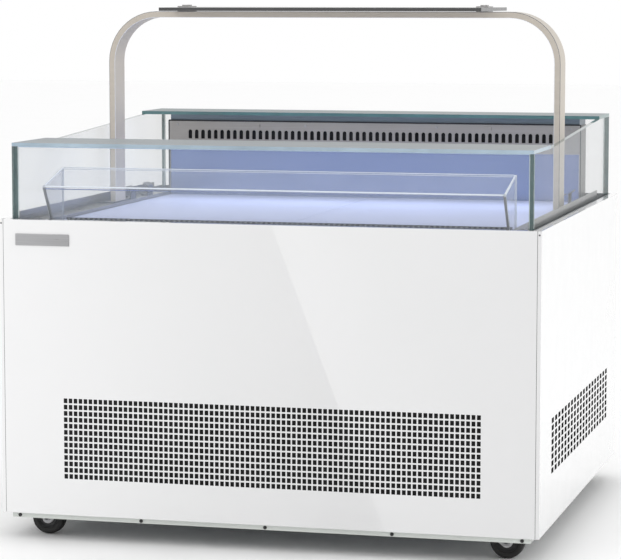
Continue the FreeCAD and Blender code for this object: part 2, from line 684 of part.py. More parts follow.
def make_caster(name, side_x, side_y):
    x, y = "%d * caster_x" % side_x, "%d * caster_y" % side_y
    wheel_x = "%d * (caster_x + trail)" % side_x
    braked = side_y < 0
    fork = new_body("caster_fork_" + name)
    x_span = mirrored(side_x, "caster_x - 22", "caster_x + 30")
    pad(fork, "crown_" + name, "XY", "crown_top - crown_sheet", "crown_top",
        rectangle(*x_span, y + " - leg_gap - leg_sheet", y + " + leg_gap + leg_sheet"))
    pocket(fork, "kingpin_bore_" + name, "XY", "crown_top - crown_sheet", "crown_top",
           disc=(x, y, "kingpin_r + running_gap"))
    near = "caster_x - 22" if braked else "caster_x - 10"
    leg = [("caster_x + trail - 7", "wheel_r - 9"), ("caster_x + trail + 7", "wheel_r - 9"),
           ("caster_x + trail + 9", "wheel_r + 4"), ("caster_x + 30", "crown_top - crown_sheet"),
           ("caster_x - 22", "crown_top - crown_sheet"), (near, "wheel_r + 20")]
    if side_x < 0:
        leg = [("-(%s)" % a, b) for a, b in reversed(leg)]
    for edge in (-1, 1):
        low, high = ("leg_gap", "leg_gap + leg_sheet") if edge > 0 else \
                    ("-leg_gap - leg_sheet", "-leg_gap")
        pad(fork, "leg_%s_%d" % (name, edge + 1), "XZ", y + " + " + low, y + " + " + high, leg)
    pad(fork, "axle_" + name, "XZ", y + " - leg_gap - leg_sheet - 3",
        y + " + leg_gap + leg_sheet + 3", disc=(wheel_x, "wheel_r", "axle_r"))
    if braked:
        pad(fork, "brake_pin_" + name, "XZ", y + " - leg_gap - leg_sheet",
            y + " + leg_gap + leg_sheet", disc=("%d * (caster_x - 15)" % side_x, "brake_z", "2.5"))
    keep("caster_fork_" + name, fork)

    wheel = new_body("caster_wheel_" + name)
    sketch = new_sketch(wheel, "wheel_section_" + name, "XY", "0")
    polygon(sketch, [("axle_r + running_gap", "-wheel_w / 2 - 1"), ("13", "-wheel_w / 2 - 1"),
                     ("14", "-wheel_w / 2 + 5"), ("25", "-wheel_w / 2 + 6"),
                     ("27", "-wheel_w / 2"), ("34", "-wheel_w / 2"),
                     ("wheel_r - 1", "-wheel_w / 2 + 4"), ("wheel_r", "-wheel_w / 2 + 9"),
                     ("wheel_r", "wheel_w / 2 - 9"), ("wheel_r - 1", "wheel_w / 2 - 4"),
                     ("34", "wheel_w / 2"), ("27", "wheel_w / 2"), ("25", "wheel_w / 2 - 6"),
                     ("14", "wheel_w / 2 - 5"), ("13", "wheel_w / 2 + 1"),
                     ("axle_r + running_gap", "wheel_w / 2 + 1")])
    spin = wheel.newObject("PartDesign::Revolution", "wheel_turning_" + name)
    spin.Profile = sketch
    spin.ReferenceAxis = (sketch, ["V_Axis"])
    spin.Angle = 360
    for key, place in (("x", wheel_x), ("y", y), ("z", "wheel_r")):
        wheel.setExpression("Placement.Base." + key, bound(place))
    keep("caster_wheel_" + name, wheel)
    if braked:
        make_brake_lever(name, side_x, y)


def make_brake_lever(name, side_x, y):
    """Pedal on the leading side of the fork, with a barrel that turns on the fork's pin."""
    pin_x = "%d * (caster_x - 15)" % side_x
    lever = new_body("brake_lever_" + name)
    pad(lever, "lever_barrel_" + name, "XZ", y + " - 13", y + " + 13",
        disc=(pin_x, "brake_z", "5.5"))
    blade = [("caster_x - 19", "brake_z - 3"), ("caster_x - 19", "brake_z + 3"),
             ("caster_x - 44", "brake_z - 1"), ("caster_x - 56", "brake_z - 8"),
             ("caster_x - 55", "brake_z - 11"), ("caster_x - 43", "brake_z - 4.5")]
    if side_x < 0:
        blade = [("-(%s)" % a, b) for a, b in reversed(blade)]
    pad(lever, "lever_blade_" + name, "XZ", y + " - 13", y + " + 13", blade)
    pocket(lever, "lever_bore_" + name, "XZ", y + " - 13", y + " + 13",
           disc=(pin_x, "brake_z", "2.5 + running_gap"))
    keep("brake_lever_" + name, lever)


# ---------------------------------------------------------------- refrigeration

def rotor(name, x, y, z, radius, hub_deep, blade_count, shaft_long):
    """An axial fan wheel on a shaft along Y, with pitched blades round a hub."""
    hub_r = value("hub_r")
    hub = Part.makeCylinder(hub_r, hub_deep, FreeCAD.Vector(0, 0, 0), FreeCAD.Vector(0, 1, 0))
    shaft = Part.makeCylinder(value("shaft_r"), shaft_long, FreeCAD.Vector(0, hub_deep, 0),
                              FreeCAD.Vector(0, 1, 0))
    shape = hub.fuse(shaft)
    for i in range(blade_count):
        stations = []
        for reach, chord, pitch in ((hub_r - 4, 0.34 * radius, 42), (radius, 0.52 * radius, 24)):
            turn = math.radians(pitch)
            across, along = chord / 2 * math.cos(turn), chord / 2 * math.sin(turn)
            deep = hub_deep / 2
            stations.append(closed_wire([(-across, deep - along, reach),
                                         (across, deep + along, reach),
                                         (across, deep + along + 1.6, reach),
                                         (-across, deep - along + 1.6, reach)]))
        blade = Part.makeLoft(stations, True, True)
        blade.rotate(FreeCAD.Vector(), FreeCAD.Vector(0, 1, 0), 360 / blade_count * i)
        shape = shape.fuse(blade)
    solid = feature(name, shape.removeSplitter())
    solid.Placement = FreeCAD.Placement(FreeCAD.Vector(x, y, z), FreeCAD.Rotation())
    keep(name, solid)


def tube(name, points, radius, bend):
    """A round tube along straight runs joined by tangent arcs."""
    knots = [FreeCAD.Vector(*p) for p in points]
    edges = []
    start = knots[0]
    for before, corner, after in zip(knots, knots[1:], knots[2:]):
        arriving = (corner - before).normalize()
        leaving = (after - corner).normalize()
        turn = arriving.getAngle(leaving)
        back = bend * math.tan(turn / 2)
        entry, leave = corner - arriving * back, corner + leaving * back
        centre_way = (leaving - arriving).normalize()
        centre = corner + centre_way * (bend / math.cos(turn / 2))
        middle = centre - centre_way * bend
        edges.append(Part.LineSegment(start, entry).toShape())
        edges.append(Part.Arc(entry, middle, leave).toShape())
        start = leave
    edges.append(Part.LineSegment(start, knots[-1]).toShape())
    path = Part.Wire(edges)
    heading = knots[1] - knots[0]
    profile = Part.Wire([Part.makeCircle(radius, knots[0], heading)])
    solid = path.makePipeShell([profile], True, True)
    expected = math.pi * radius ** 2 * path.Length
    if abs(solid.Volume / expected - 1) > 0.02:
        raise RuntimeError(name + " has the wrong volume")
    print("%s: length %.0f, bend radius %.0f" % (name, path.Length, bend))
    return feature(name, solid)


COIL = {"x": (-430, 20), "y": (-500, -440), "z": (112, 420)}
FAN = {"x": -205, "y": -398, "z": 266}


def make_condensing_unit():
    x_low, x_high = COIL["x"]
    y_low, y_high = COIL["y"]
    z_low, z_high = COIL["z"]
    fins = [box("fin_block", x_low + 6, x_high - 6, y_low, y_high, z_low + 8, z_high - 8)]
    for i, x in enumerate((x_low, x_high - 3)):
        fins.append(box("coil_end_%d" % i, x, x + 3, y_low - 4, y_high + 4, z_low - 5, z_high))
    for i in range(8):
        z = z_low + 30 + i * 34
        for j, y in enumerate((y_low + 18, y_high - 18)):
            fins.append(cylinder("coil_tube_%d_%d" % (i, j), "x", x_low - 12, y, z, "5",
                                 x_high - x_low + 24))
        fins.append(box("coil_return_%d" % i, x_high + 8, x_high + 16, y_low + 14, y_high - 14,
                        z - 5, z + 5))
    keep("condenser_coil", fuse("condenser_coil", fins))

    shroud = new_body("fan_shroud")
    pad(shroud, "shroud_block", "XZ", y_high + 5, y_high + 45,
        rectangle(x_low + 4, x_high - 4, z_low, z_high - 2))
    pocket(shroud, "shroud_space", "XZ", y_high + 5, y_high + 43,
           rectangle(x_low + 6, x_high - 6, z_low + 2, z_high - 4))
    pocket(shroud, "shroud_mouth", "XZ", y_high + 43, y_high + 45,
           disc=(FAN["x"], FAN["z"], "condenser_fan_r + 5"))
    keep("fan_shroud", shroud)

    motor = new_body("condenser_motor")
    pad(motor, "motor_case", "XZ", FAN["y"] + 48, FAN["y"] + 108,
        disc=(FAN["x"], FAN["z"], "42"))
    pocket(motor, "motor_bore", "XZ", FAN["y"] + 48, FAN["y"] + 98,
           disc=(FAN["x"], FAN["z"], "shaft_r + running_gap"))
    pad(motor, "motor_pillar", "XZ", FAN["y"] + 70, FAN["y"] + 76,
        rectangle(FAN["x"] - 20, FAN["x"] + 20, "frame_top + floor_sheet", FAN["z"] - 40))
    pad(motor, "motor_foot", "XY", "frame_top + floor_sheet", "frame_top + floor_sheet + 4",
        rectangle(FAN["x"] - 40, FAN["x"] + 40, FAN["y"] + 50, FAN["y"] + 110))
    keep("condenser_motor", motor)
    rotor("condenser_fan", FAN["x"], FAN["y"], FAN["z"], value("condenser_fan_r"), 30, 5, 50)

    dome = new_body("compressor")
    sketch = new_sketch(dome, "dome_section", "XZ", "0")
    polygon(sketch, [("0", "0"), ("88", "0"), ("88", "10"), ("84", "12"), ("84", "120"),
                     ("88", "122"), ("88", "130"), ("84", "132"), ("82", "160"), ("70", "186"),
                     ("45", "202"), ("0", "208")])
    shell = dome.newObject("PartDesign::Revolution", "dome_turning")
    shell.Profile = sketch
    shell.ReferenceAxis = (sketch, ["V_Axis"])
    shell.Angle = 360
    pad(dome, "compressor_feet", "XY", "-10", "0", rectangle("-115", "115", "-70", "70"))
    for i, (x, y) in enumerate(((-95, -52), (95, -52), (-95, 52), (95, 52))):
        pad(dome, "mount_%d" % i, "XY", "-30", "-10", disc=(x, y, "14"))
    pad(dome, "terminal_box", "XY", "60", "120", rectangle("70", "112", "-32", "32"))
    dome.Placement = FreeCAD.Placement(FreeCAD.Vector(-200, 40, 137), FreeCAD.Rotation())
    keep("compressor", dome)

    receiver = fuse("receiver_drier", [
        cylinder("receiver_shell", "x", "120", "-150", "170", "45", "220"),
        box("receiver_saddle_a", "150", "164", "-190", "-110", "frame_top + floor_sheet", "160"),
        box("receiver_saddle_b", "296", "310", "-190", "-110", "frame_top + floor_sheet", "160"),
        cylinder("drier_shell", "x", "150", "-150", "240", "18", "120"),
        box("drier_post", "200", "212", "-156", "-144", "210", "230")])
    keep("receiver_drier", receiver)


EVAPORATOR = {"x": 440, "y": (300, 400), "z": (548, 690)}
PANEL_Y = 230
EVAPORATOR_FANS = (("left", -220), ("right", 220))


def make_evaporator():
    half = EVAPORATOR["x"]
    y_low, y_high = EVAPORATOR["y"]
    z_low, z_high = EVAPORATOR["z"]
    pieces = []
    for side in (-1, 1):
        tag = "right" if side > 0 else "left"
        x_span = mirrored(side, "20", str(half - 6))
        pieces.append(box("evaporator_fins_" + tag, *x_span, y_low, y_high, z_low + 6, z_high))
        plate = mirrored(side, str(half - 4), str(half))
        pieces.append(box("evaporator_end_" + tag, *plate, y_low - 4, y_high + 4,
                          "cavity_bottom", z_high + 4))
    for i in range(4):
        for j in range(2):
            pieces.append(cylinder("evaporator_tube_%d_%d" % (i, j), "x", -half - 12,
                                   y_low + 26 + 48 * j, z_low + 28 + 30 * i, "6",
                                   2 * half + 24))
    keep("evaporator_coil", fuse("evaporator_coil", pieces))

    panel = new_body("evaporator_fan_panel")
    pad(panel, "fan_sheet", "XZ", PANEL_Y, PANEL_Y + 2,
        rectangle(-half - 40, half + 40, "cavity_bottom", "well_top - 4"))
    for tag, x in EVAPORATOR_FANS:
        pocket(panel, "fan_mouth_" + tag, "XZ", PANEL_Y, PANEL_Y + 2,
               disc=(x, 618, "evaporator_fan_r + 4"))
    pocket(panel, "beam_notch", "XZ", PANEL_Y, PANEL_Y + 2,
           rectangle(-17, 17, "well_top - 25", "well_top - 4"))
    keep("evaporator_fan_panel", panel)

    motors = []
    for tag, x in EVAPORATOR_FANS:
        motor = new_body("evaporator_motor_" + tag)
        pad(motor, "case_" + tag, "XZ", PANEL_Y + 22, PANEL_Y + 56, disc=(x, 618, "30"))
        pocket(motor, "bore_" + tag, "XZ", PANEL_Y + 22, PANEL_Y + 50,
               disc=(x, 618, "shaft_r + running_gap"))
        pad(motor, "bridge_" + tag, "XZ", PANEL_Y + 40, PANEL_Y + 44,
            rectangle(x - 100, x + 100, 610, 626))
        for edge in (-1, 1):
            pad(motor, "strut_%s_%d" % (tag, edge + 1), "XZ", PANEL_Y + 2, PANEL_Y + 44,
                rectangle(x + edge * 96 - 4, x + edge * 96 + 4, 610, 626))
        motors.append(motor)
        rotor("evaporator_fan_" + tag, x, PANEL_Y - 16, 618, value("evaporator_fan_r"), 30, 5, 24)
    keep("evaporator_motors", group("evaporator_motors", motors))


def make_lines():
    """Copper lines between the compressor, the condenser, the receiver and the evaporator."""
    line_r = value("line_r")
    discharge = tube("discharge_line", [(-240, 40, 342), (-240, 40, 385), (-470, 40, 385),
                                        (-470, -452, 385), (-443, -452, 385)], line_r, 16)
    liquid = tube("liquid_line", [(345, -150, 170), (400, -150, 170), (400, 330, 170),
                                  (400, 330, 499)], line_r, 20)
    suction = tube("suction_line", [(-160, 40, 342), (-160, 40, 420), (-100, 40, 420),
                                    (-100, 330, 420), (-100, 330, 499)], line_r, 20)
    keep("refrigerant_lines", group("refrigerant_lines", [discharge, liquid, suction]))


def make_drain():
    pan = new_body("evaporating_pan")
    pad(pan, "pan_block", "XY", "frame_top + floor_sheet", "frame_top + floor_sheet + 45",
        rectangle("180", "480", "-500", "-300"))
    pocket(pan, "pan_space", "XY", "frame_top + floor_sheet + 2", "frame_top + floor_sheet + 45",
           rectangle("182", "478", "-498", "-302"))
    keep("evaporating_pan", pan)
    pipe = tube("drain_tube", [(300, -430, 533), (300, -430, 330), (300, -400, 250),
                               (300, -400, 120)], 8.5, 60)
    keep("drain_tube", pipe)


# ---------------------------------------------------------------- controls

def make_controls():
    x, z = CONTROLLER["x"], CONTROLLER["z"]
    switch_x = ROCKER["x"]
    half_x, half_z = CONTROLLER["wide"] / 2, CONTROLLER["tall"] / 2
    panel = new_body("control_panel")
    pad(panel, "panel_bezel", "XZ", "depth/2", "depth/2 + bezel",
        rectangle(switch_x - 22, x + half_x + 6, z - half_z - 4, z + half_z + 4))
    pad(panel, "controller_case", "XZ", "depth/2 - 3", "depth/2",
        rectangle(x - half_x + 5, x + half_x - 5, z - half_z + 5, z + half_z - 5))
    pad(panel, "switch_case", "XZ", "depth/2 - 7", "depth/2",
        rectangle(switch_x - 10, switch_x + 10, z - 13, z + 13))
    for i, button_x in enumerate((x + 17, x + 27)):
        pocket(panel, "button_well_%d" % i, "XZ", "depth/2 - 2", "depth/2 + bezel",
               rectangle(button_x - 3.5, button_x + 3.5, z - 3.5, z + 3.5))
    pocket(panel, "switch_well", "XZ", "depth/2 - 5.5", "depth/2 + bezel",
           rectangle(switch_x - 8, switch_x + 8, z - 11, z + 11))
    keep("control_panel", panel)
    for name, button_x in (("set_button", x + 17), ("defrost_button", x + 27)):
        button = new_body(name)
        pad(button, name + "_cap", "XZ", "depth/2 - 0.5", "depth/2 + bezel + 1",
            rectangle(button_x - 3, button_x + 3, z - 3, z + 3))
        keep(name, button)
    rocker = new_body("power_switch")
    pad(rocker, "rocker_cap", "YZ", switch_x - 7.5, switch_x + 7.5,
        [("depth/2 - 4", z - 9), ("depth/2 + bezel", z - 9.5), ("depth/2 + bezel - 1.4", z),
         ("depth/2 + bezel", z + 9.5), ("depth/2 - 4", z + 9)])
    keep("power_switch", rocker)

    x, z = GLAND["x"], GLAND["z"]
    gland = new_body("power_inlet_gland")
    pad(gland, "gland_flange", "XZ", "depth/2", "depth/2 + bezel",
        rectangle(x - 18, x + 18, z - 18, z + 18))
    pad(gland, "gland_nose", "XZ", "depth/2 - 14", "depth/2", disc=(x, z, "11"))
    pocket(gland, "gland_hole", "XZ", "depth/2 - 14", "depth/2 + bezel", disc=(x, z, "5"))
    keep("power_inlet_gland", gland)

    case = new_body("control_box")
    pad(case, "box_case", "XY", "frame_top + floor_sheet", "300",
        rectangle("-480", "-320", "380", "520"))
    keep("control_box", case)


# ---------------------------------------------------------------- trim

def make_badge():
    badge = new_body("badge_plate")
    pad(badge, "badge_blank", "XZ", "-depth/2 - badge", "-depth/2",
        rectangle("-572", "-446", "664", "690"))
    keep("badge_plate", badge)


def make_screws():
    heads = []
    for i, x in enumerate((-572, -286, 0, 286, 572)):
        for tag, y_face in (("front", "-frame_y - 2"), ("rear", "frame_y")):
            heads.append(cylinder("screw_%s_%d" % (tag, i), "y", x, y_face, "53.5", "4", "2"))
    keep("panel_screws", group("panel_screws", heads))


# ---------------------------------------------------------------- build, check, write

def build():
    make_arch()
    make_base_frame()
    make_machine_floor()
    make_upper_frame()
    make_well()
    make_side_rails()
    make_deck_pans()
    make_return_grille()
    make_plenum()
    make_glazing_channel()
    make_glass()
    make_product_guard()
    make_arch_brackets()
    make_shelf()
    make_caster_plates()
    for corner in caster_corners():
        make_caster(*corner)
    make_condensing_unit()
    make_evaporator()
    make_lines()
    make_drain()
    make_controls()
    make_badge()
    make_screws()
    make_front_panel()
    for side in (-1, 1):
        make_side_panel(side)
    make_rear_panel()
    DOC.recompute()


def check():
    for thing in DOC.Objects:
        if any(word in ("Invalid", "Error") for word in thing.State):
            raise RuntimeError("%s is %s" % (thing.Label, thing.State))
    for hollow in POCKETS:
        if not hollow.Shape.Volume < hollow.BaseFeature.Shape.Volume - 1e-6:
            raise RuntimeError(hollow.Label + " cuts nothing")
    for name, thing in NODES.items():
        if thing.Shape.isNull() or not thing.Shape.isValid() or not thing.Shape.Solids:
            raise RuntimeError(name + " has no valid solid")


def write():
    os.makedirs("parts", exist_ok=True)
    for name, thing in NODES.items():
        thing.Shape.exportStep(os.path.join("parts", name + ".step"))
        print("%-28s %2d solid(s) %10.0f mm3" % (name, len(thing.Shape.Solids),
                                                 thing.Shape.Volume))
    print(len(NODES), "nodes")


build()
check()
write()
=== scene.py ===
import json
import math

import bmesh
import bpy
from mathutils import Matrix, Vector


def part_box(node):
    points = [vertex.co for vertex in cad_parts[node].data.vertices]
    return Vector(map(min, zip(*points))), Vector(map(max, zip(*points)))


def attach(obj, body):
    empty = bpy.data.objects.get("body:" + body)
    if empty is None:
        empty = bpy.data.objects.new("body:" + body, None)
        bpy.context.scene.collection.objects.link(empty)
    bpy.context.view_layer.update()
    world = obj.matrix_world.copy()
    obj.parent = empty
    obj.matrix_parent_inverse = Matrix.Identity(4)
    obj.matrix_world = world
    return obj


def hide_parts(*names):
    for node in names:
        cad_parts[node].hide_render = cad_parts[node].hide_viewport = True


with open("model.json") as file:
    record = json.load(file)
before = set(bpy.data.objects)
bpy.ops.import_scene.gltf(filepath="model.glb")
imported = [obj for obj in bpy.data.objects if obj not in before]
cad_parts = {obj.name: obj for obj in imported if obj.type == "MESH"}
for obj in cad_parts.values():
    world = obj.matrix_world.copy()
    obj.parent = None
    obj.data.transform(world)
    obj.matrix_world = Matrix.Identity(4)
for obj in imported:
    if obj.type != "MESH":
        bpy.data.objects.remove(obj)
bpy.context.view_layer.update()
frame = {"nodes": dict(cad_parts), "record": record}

NODES = frame["nodes"]
SCENE = bpy.context.scene
X, Y, Z = 0, 1, 2
SIDES = ((-1, "left"), (1, "right"))


# ---------------------------------------------------------------- materials

# A face looks along an axis when its normal's part on that axis is larger than this.
FACING = 0.6


class Surface:
    """A Principled material whose looks vary with the place on the object."""

    def __init__(self, name):
        self.material = bpy.data.materials.new(name)
        self.material.use_nodes = True
        self.tree = self.material.node_tree
        self.shader = self.tree.nodes["Principled BSDF"]
        self.coords = self.add("ShaderNodeTexCoord")
        self.place = self.coords.outputs["Object"]

    def add(self, kind, **settings):
        node = self.tree.nodes.new(kind)
        for key, setting in settings.items():
            setattr(node, key, setting)
        return node

    def feed(self, socket, source):
        """Links a source socket, or sets a constant."""
        if isinstance(source, bpy.types.NodeSocket):
            self.tree.links.new(source, socket)
        else:
            socket.default_value = source

    def put(self, name, source):
        self.feed(self.shader.inputs[name], source)
        return self

    def noise(self, stretch=(1, 1, 1), scale=1.0, detail=4.0, rough=0.5):
        mapping = self.add("ShaderNodeMapping")
        mapping.inputs["Scale"].default_value = stretch
        self.feed(mapping.inputs["Vector"], self.place)
        texture = self.add("ShaderNodeTexNoise")
        self.feed(texture.inputs["Vector"], mapping.outputs["Vector"])
        texture.inputs["Scale"].default_value = scale
        texture.inputs["Detail"].default_value = detail
        texture.inputs["Roughness"].default_value = rough
        return texture.outputs["Fac"]

    def remap(self, source, low, high, start=0.3, end=0.7):
        node = self.add("ShaderNodeMapRange")
        self.feed(node.inputs["Value"], source)
        for key, number in (("From Min", start), ("From Max", end),
                            ("To Min", low), ("To Max", high)):
            node.inputs[key].default_value = number
        return node.outputs["Result"]

    def blend(self, factor, first, second):
        node = self.add("ShaderNodeMix", data_type="RGBA")
        self.feed(node.inputs["Factor"], factor)
        colours = [s for s in node.inputs if s.type == "RGBA"]
        for socket, source in zip(colours, (first, second)):
            self.feed(socket, (*source, 1.0) if isinstance(source, tuple) else source)
        return next(s for s in node.outputs if s.type == "RGBA")

    def mix(self, factor, first, second):
        node = self.add("ShaderNodeMix", data_type="FLOAT")
        self.feed(node.inputs[0], factor)
        self.feed(node.inputs[2], first)
        self.feed(node.inputs[3], second)
        return node.outputs[0]

    def maths(self, kind, first, second=0.0):
        node = self.add("ShaderNodeMath", operation=kind)
        self.feed(node.inputs[0], first)
        self.feed(node.inputs[1], second)
        return node.outputs[0]

    def part(self, vector, axis):
        node = self.add("ShaderNodeSeparateXYZ")
        self.feed(node.inputs[0], vector)
        return node.outputs[axis]

    def bump(self, height, strength, distance=0.0005):
        node = self.add("ShaderNodeBump")
        node.inputs["Strength"].default_value = strength
        node.inputs["Distance"].default_value = distance
        self.feed(node.inputs["Height"], height)
        self.put("Normal", node.outputs["Normal"])
        return self


def painted(name, colour, shade, rough, coat=0.0, coat_ior=1.5, grain=420.0):
    """Enamel or moulded plastic: clouded colour, uneven gloss and a fine orange peel."""
    s = Surface(name)
    cloud = s.noise(scale=3.0)
    peel = s.noise(scale=grain, detail=2.0)
    s.put("Base Color", s.blend(s.remap(cloud, 0, 1), shade, colour))
    s.put("Roughness", s.remap(s.noise(scale=9.0), rough * 0.8, rough * 1.25))
    s.put("Coat Weight", coat)
    s.put("Coat Roughness", 0.03)
    s.put("Coat IOR", coat_ior)
    s.bump(peel, 0.04 if coat else 0.15, 0.0003)
    return s


def enamel(name):
    """The gloss white coat of the cabinet's panels."""
    return painted(name, (0.835, 0.835, 0.84), (0.82, 0.822, 0.825), 0.16, coat=1.0, coat_ior=2.0)


def brushed(name, colour, shade, rough, stretch, metallic=1.0, bump=0.12):
    """Metal with streaks along its grain and soft clouds of haze."""
    s = Surface(name)
    streak = s.noise(stretch, 1.0, 6.0, 0.65)
    haze = s.noise(scale=5.0)
    tone = s.maths("ADD", s.maths("MULTIPLY", streak, 0.7), s.maths("MULTIPLY", haze, 0.3))
    s.put("Base Color", s.blend(s.remap(tone, 0, 1), shade, colour))
    s.put("Roughness", s.remap(tone, rough * 0.75, rough * 1.3))
    s.put("Metallic", metallic)
    s.bump(streak, bump, 0.0002)
    return s


def clear_pane(name, axis, face, face_alpha, edge, edge_alpha, top=None, top_alpha=0.6):
    """A clear sheet: faint on its two faces, coloured on its narrow edges and brighter on top,
    where a grey colour is a painted reflection.
    """
    s = Surface(name)
    normal = s.coords.outputs["Normal"]
    across = s.maths("ABSOLUTE", s.part(normal, axis))
    on_face = s.maths("GREATER_THAN", across, FACING)
    depth = s.remap(s.noise(scale=14.0), 0, 1)
    rim = s.blend(depth, tuple(c * 0.72 for c in edge), edge)
    colour = s.blend(on_face, rim, face)
    alpha = s.mix(on_face, edge_alpha, s.remap(s.noise(scale=2.5), face_alpha * 0.8,
                                               face_alpha * 1.2))
    if top:
        # Painted reflection: the top faces take a grey colour, and their real specular is weakened.
        upward = s.maths("GREATER_THAN", s.part(normal, Z), FACING)
        # The painted reflection on the top faces grows stronger from the left end of the cabinet to
        # the right one.
        reflection_ramp = s.remap(s.part(s.place, X), 0.9, 1.08, -0.6, 0.6)
        tone = s.blend(s.remap(s.noise((1, 3, 1), 4.0), 0, 1), tuple(c * 0.94 for c in top), top)
        colour = s.blend(upward, colour, tone)
        alpha = s.mix(upward, alpha, s.maths("MULTIPLY", reflection_ramp, top_alpha))
        s.put("Specular IOR Level", s.mix(upward, 0.5, 0.10))
    s.put("Base Color", colour)
    s.put("Alpha", alpha)
    gloss = s.remap(s.noise(scale=30.0), 0.02, 0.06)
    s.put("Roughness", s.mix(upward, gloss, 0.45) if top else gloss)
    s.put("IOR", 1.5)
    return s


def stripes(surface, axis, pitch, low, high):
    """Turns a plain metal into a stack of thin fins across one axis; the dark stripes between the
    fins are painted shade.
    """
    wave = surface.maths("SINE", surface.maths(
        "MULTIPLY", surface.part(surface.place, axis), 2 * math.pi / pitch))
    surface.put("Base Color", surface.blend(surface.remap(wave, 0, 1, -0.4, 0.6), low, high))
    surface.bump(wave, 0.6, 0.001)
    return surface


TEAL = (0.020, 0.125, 0.115)
MATERIALS = {
    "white_panel": enamel("gloss_white_enamel"),
    "frame_paint": painted("pale_grey_powder_coat", (0.66, 0.69, 0.66), (0.60, 0.63, 0.60), 0.45),
    "galvanised": brushed("galvanised_sheet", (0.50, 0.52, 0.54), (0.36, 0.38, 0.40), 0.48,
                          (40, 40, 40), bump=0.05),
    "well_foam": brushed("well_skin", (0.62, 0.66, 0.74), (0.50, 0.54, 0.62), 0.35,
                         (4, 4, 300)),
    "stainless": brushed("brushed_stainless", (0.40, 0.39, 0.385), (0.30, 0.295, 0.29), 0.30,
                         (500, 5, 500)),
    # Painted light: the blue in the deck's base colour stands in for the blue-white light of the
    # display lamps.
    "deck_steel": brushed("deck_steel_painted_blue_light", (0.62, 0.68, 0.95), (0.57, 0.63, 0.90), 0.50,
                          (6, 500, 500), metallic=0.0, bump=0.04),
    # Painted reflection: the blue in the polished steel's base colour stands in for the blue light
    # it reflects.
    "polished_steel": brushed("mirror_steel_painted_blue_reflection", (0.19, 0.26, 0.50), (0.16, 0.23, 0.46), 0.22,
                              (3, 200, 200), metallic=0.3, bump=0.02),
    "channel_alu": brushed("anodised_channel", (0.30, 0.31, 0.32), (0.22, 0.23, 0.24), 0.42,
                           (300, 300, 5)),
    "zinc": brushed("zinc_plate", (0.42, 0.42, 0.43), (0.30, 0.30, 0.31), 0.38, (90, 90, 90)),
    "coil_alu": stripes(brushed("finned_aluminium", (0.5, 0.5, 0.52), (0.3, 0.3, 0.32), 0.5,
                                (60, 60, 4)), X, 0.0035, (0.05, 0.05, 0.055), (0.20, 0.20, 0.21)),
    "black_steel": painted("black_enamel", (0.022, 0.022, 0.024), (0.015, 0.015, 0.016), 0.35),
    "fan_plastic": painted("fan_plastic", (0.05, 0.05, 0.055), (0.035, 0.035, 0.04), 0.5),
    "copper": brushed("drawn_copper", (0.72, 0.34, 0.19), (0.52, 0.22, 0.12), 0.33, (60, 60, 60)),
    "drain_plastic": painted("drain_plastic", (0.40, 0.41, 0.42), (0.32, 0.33, 0.34), 0.5),
    "black_plastic": painted("black_plastic", (0.028, 0.028, 0.030), (0.018, 0.018, 0.020), 0.45,
                             grain=900.0),
    "button_plastic": painted("button_plastic", (0.10, 0.10, 0.11), (0.07, 0.07, 0.08), 0.25),
    "tyre_rubber": painted("tyre_rubber", (0.018, 0.017, 0.017), (0.010, 0.010, 0.010), 0.62,
                           grain=260.0),
}

ARCH = brushed("arch_stainless", (0.58, 0.53, 0.46), (0.51, 0.465, 0.405), 0.42, (3, 60, 60),
               metallic=0.35, bump=0.02)
CLIP = brushed("dark_bracket_steel", (0.16, 0.17, 0.20), (0.10, 0.11, 0.13), 0.30, (80, 80, 80))


# The vent holes of all four panels lie between these heights.
VENTS_FROM, VENTS_TO = 0.13, 0.40
# Near black painted shade for the walls of the vent holes.
HOLE_SHADE = (0.03, 0.03, 0.03)


def vented(name, axis, along, reach):
    """The panel enamel, with painted shade on the walls of the vent holes: near black there, and
    without the coat.
    """
    s = enamel(name)
    coat = s.shader.inputs["Base Color"].links[0].from_socket
    wall = s.maths("LESS_THAN", s.maths("ABSOLUTE", s.part(s.coords.outputs["Normal"], axis)), 0.5)
    height = s.part(s.place, Z)
    band = s.maths("MULTIPLY", s.maths("GREATER_THAN", height, VENTS_FROM),
                   s.maths("LESS_THAN", height, VENTS_TO))
    inside = s.maths("LESS_THAN", s.maths("ABSOLUTE", s.part(s.place, along)), reach)
    hole_shade_mask = s.maths("MULTIPLY", wall, s.maths("MULTIPLY", band, inside))
    s.put("Base Color", s.blend(hole_shade_mask, coat, HOLE_SHADE))
    s.put("Coat Weight", s.mix(hole_shade_mask, 1.0, 0.0))
    return s


FRONT_SKIN = vented("vented_enamel_front", Y, X, 0.55)
SIDE_SKIN = vented("vented_enamel_side", X, Y, 0.45)


PLENUM_FACE = 0.440
PLENUM_TOP = 0.895


def plenum_look():
    """Brushed sheet, with painted shade making its end walls darker, and bluer on the lamp channel
    above it.
    """
    s = brushed("plenum_stainless", (0.40, 0.385, 0.37), (0.31, 0.30, 0.29), 0.34, (4, 600, 600))
    front = s.shader.inputs["Base Color"].links[0].from_socket
    sideways = s.maths("GREATER_THAN",
                       s.maths("ABSOLUTE", s.part(s.coords.outputs["Normal"], X)), FACING)
    high = s.maths("GREATER_THAN", s.part(s.place, Z), PLENUM_TOP + 0.0002)
    # Painted shade: the end walls, which face along X, take a dark colour.
    tone = s.blend(sideways, front, (0.12, 0.115, 0.11))
    s.put("Base Color", s.blend(high, tone, (0.17, 0.21, 0.25)))
    return s


